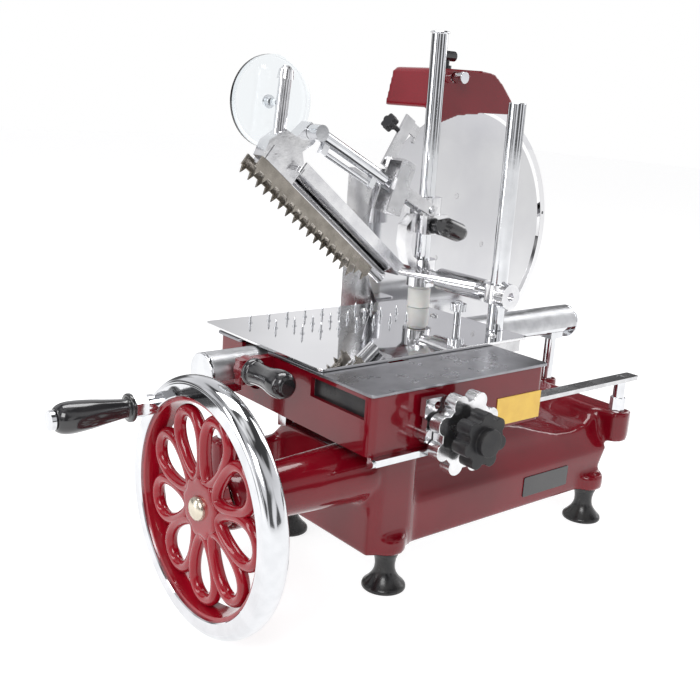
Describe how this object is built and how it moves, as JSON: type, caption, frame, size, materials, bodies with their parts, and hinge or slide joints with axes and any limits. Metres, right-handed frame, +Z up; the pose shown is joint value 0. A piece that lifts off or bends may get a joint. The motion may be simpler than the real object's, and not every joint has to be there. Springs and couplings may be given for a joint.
{
  "type": "hand-cranked flywheel meat slicer",
  "caption": "Counter-top meat slicer: flywheel and crank, sliding carriage with feed table, comb clamp on two columns, upright circular blade with a sharpener.",
  "frame": {"origin": "on the floor under the centre of the front left foot", "axes": "+X along the carriage stroke away from the flywheel, +Y from the operator towards the blade, +Z up"},
  "size_m": [0.838, 0.5175, 0.5705],
  "materials": {
    "red_enamel": "deep red gloss enamel",
    "black_rubber": "moulded black rubber",
    "black_plastic": "glossy black phenolic",
    "dark_steel": "oiled chain steel",
    "chrome": "polished chrome",
    "mirror_steel": "mirror-polished stainless steel",
    "steel": "brushed stainless steel",
    "aluminium": "satin aluminium",
    "white_nylon": "white nylon",
    "clear_acrylic": "clear acrylic",
    "brass": "machined bronze and brass",
    "yellow_label": "plain yellow plate",
    "abrasive": "bonded abrasive"
  },
  "bodies": {
    "base": {"base_casting": "red_enamel", "base_cover_plate": "steel", "rubber_feet": "black_rubber", "base_fasteners": "steel", "tower_rear_cover": "red_enamel", "shaft_bushes": "brass", "counter_bearings": "steel", "flat_rail": "steel", "rail_pillars": "chrome", "guide_bar": "chrome", "bar_pillars": "chrome", "bar_end_caps": "white_nylon", "bar_cover": "aluminium", "nameplate": "black_plastic", "blade_bearings": "steel", "blade_guard_ring": "mirror_steel", "slice_deflector": "steel", "receiving_tray": "steel", "sharpener_bracket": "steel", "sharpener_cover": "red_enamel", "drive_chain": "dark_steel"},
    "flywheel": {"flywheel_rim": "chrome", "flywheel_web": "red_enamel", "drive_shaft": "steel", "hub_cap": "brass", "crank_spindle": "chrome"},
    "crank_handle": {"crank_grip": "black_plastic"},
    "countershaft": {"counter_shaft": "steel"},
    "crossshaft": {"cross_shaft": "steel"},
    "blade_unit": {"slicing_blade": "mirror_steel", "blade_shaft": "steel"},
    "stone_rear": {"grinding_stone": "abrasive"},
    "stone_front": {"deburring_stone": "abrasive"},
    "sharpener_t_knob": {"sharpener_knob": "black_plastic"},
    "sharpener_push": {"sharpener_button": "chrome"},
    "carriage": {"carriage_box": "red_enamel", "carriage_plates": "steel", "carriage_bushings": "brass", "push_handle": "black_plastic", "warning_plate": "yellow_label", "carriage_trim": "chrome"},
    "roller": {"rail_roller": "steel"},
    "lever": {"feed_lever": "chrome"},
    "handwheel": {"feed_handwheel": "aluminium"},
    "clutch": {"clutch_knob": "black_plastic"},
    "leadscrew": {"feed_screw": "steel"},
    "table": {"meat_table": "mirror_steel", "table_pins": "chrome", "columns": "chrome", "nylon_sleeve": "white_nylon", "table_fittings": "steel"},
    "table_screw_knob": {"table_knob": "chrome"},
    "clamp": {"clamp_slider": "chrome"},
    "clamp_lock": {"lock_lever": "black_plastic"},
    "arm": {"clamp_arm": "chrome", "clamp_combs": "steel", "hand_guard": "clear_acrylic"},
    "strut": {"strut_rod": "chrome"},
    "bracket": {"strut_bracket": "steel"},
    "bracket_knob": {"star_knob": "black_plastic"}
  },
  "joints": [
    {"name": "flywheel_spin", "type": "hinge", "parent": "base", "child": "flywheel", "pos_m": [0, 0.022, 0.127], "axis": [1, 0, 0], "continuous": true},
    {"name": "crank_grip_spin", "type": "hinge", "parent": "flywheel", "child": "crank_handle", "pos_m": [-0.27, 0.09903, 0.2027], "axis": [1, 0, 0], "continuous": true},
    {"name": "countershaft_spin", "type": "hinge", "parent": "base", "child": "countershaft", "pos_m": [0.1, 0.022, 0.079], "axis": [1, 0, 0], "continuous": true},
    {"name": "cross_shaft_spin", "type": "hinge", "parent": "base", "child": "crossshaft", "pos_m": [0.312, 0.1, 0.079], "axis": [0, 1, 0], "continuous": true},
    {"name": "blade_spin", "type": "hinge", "parent": "base", "child": "blade_unit", "pos_m": [0.346, 0.28, 0.313], "axis": [0, 1, 0], "continuous": true},
    {"name": "grinding_stone_spin", "type": "hinge", "parent": "base", "child": "stone_rear", "pos_m": [0.3, 0.285, 0.484], "axis": [0, 1, 0], "continuous": true},
    {"name": "deburring_stone_spin", "type": "hinge", "parent": "base", "child": "stone_front", "pos_m": [0.372, 0.285, 0.486], "axis": [0, 1, 0], "continuous": true},
    {"name": "sharpener_knob_turn", "type": "hinge", "parent": "base", "child": "sharpener_t_knob", "pos_m": [0.305, 0.286, 0.53], "axis": [0, 0, 1], "range_deg": [0, 90]},
    {"name": "sharpener_button_push", "type": "slide", "parent": "base", "child": "sharpener_push", "axis": [0, 1, 0], "range_m": [0, 0.006], "stiffness_N_per_m": 500, "springref_m": -0.003},
    {"name": "carriage_slide", "type": "slide", "parent": "base", "child": "carriage", "axis": [1, 0, 0], "range_m": [0, 0.17]},
    {"name": "rail_roller_spin", "type": "hinge", "parent": "carriage", "child": "roller", "pos_m": [0.16, 0, 0.1883], "axis": [0, 1, 0], "continuous": true},
    {"name": "feed_lever_tilt", "type": "hinge", "parent": "carriage", "child": "lever", "pos_m": [0.005, -0.04, 0.178], "axis": [0, 1, 0], "range_deg": [-10, 10]},
    {"name": "feed_handwheel_turn", "type": "hinge", "parent": "carriage", "child": "handwheel", "pos_m": [0.04, -0.05, 0.179], "axis": [0, 1, 0], "range_deg": [0, 2880]},
    {"name": "clutch_knob_turn", "type": "hinge", "parent": "handwheel", "child": "clutch", "pos_m": [0.04, -0.075, 0.179], "axis": [0, 1, 0], "range_deg": [0, 180]},
    {"name": "feed_screw_turn", "type": "hinge", "parent": "carriage", "child": "leadscrew", "pos_m": [0.04, 0.05, 0.203], "axis": [0, 1, 0], "range_deg": [-2880, 0]},
    {"name": "table_feed", "type": "slide", "parent": "carriage", "child": "table", "axis": [0, 1, 0], "range_m": [-0.0801, 0.0001]},
    {"name": "table_knob_turn", "type": "hinge", "parent": "table", "child": "table_screw_knob", "pos_m": [0.208, 0.13, 0.25], "axis": [0, 0, 1], "range_deg": [0, 360]},
    {"name": "clamp_height", "type": "slide", "parent": "table", "child": "clamp", "axis": [0, 0, 1], "range_m": [0, 0.19]},
    {"name": "clamp_lock_turn", "type": "hinge", "parent": "clamp", "child": "clamp_lock", "pos_m": [0.234, 0.19, 0.336], "axis": [0, 1, 0], "range_deg": [-50, 50]},
    {"name": "clamp_arm_tilt", "type": "hinge", "parent": "clamp", "child": "arm", "pos_m": [0.234, 0.15, 0.272], "axis": [0, 1, 0], "range_deg": [-15, 15]},
    {"name": "strut_tilt", "type": "hinge", "parent": "arm", "child": "strut", "pos_m": [0.034, 0.198, 0.447], "axis": [0, 1, 0], "range_deg": [-5.2, 5.2]},
    {"name": "strut_bracket_tilt", "type": "hinge", "parent": "clamp", "child": "bracket", "pos_m": [0.20498, 0.2, 0.35988], "axis": [0, 1, 0], "range_deg": [-20.2, 20.2]},
    {"name": "star_knob_turn", "type": "hinge", "parent": "bracket", "child": "bracket_knob", "pos_m": [0.1542, 0.2129, 0.4582], "axis": [0.8572, 0, -0.515], "range_deg": [0, 180]}
  ],
  "couplings": [
    {"joint": "countershaft_spin", "follows": "flywheel_spin", "ratio": -1.2857},
    {"joint": "cross_shaft_spin", "follows": "flywheel_spin", "ratio": -1.9286},
    {"joint": "blade_spin", "follows": "flywheel_spin", "ratio": -3.1339},
    {"joint": "feed_screw_turn", "follows": "feed_handwheel_turn", "ratio": -1},
    {"joint": "table_feed", "follows": "feed_handwheel_turn", "m_per_rad": -0.0015915},
    {"joint": "strut_tilt", "follows": "clamp_arm_tilt", "ratio": 0.34},
    {"joint": "strut_bracket_tilt", "follows": "clamp_arm_tilt", "ratio": 1.34}
  ]
}
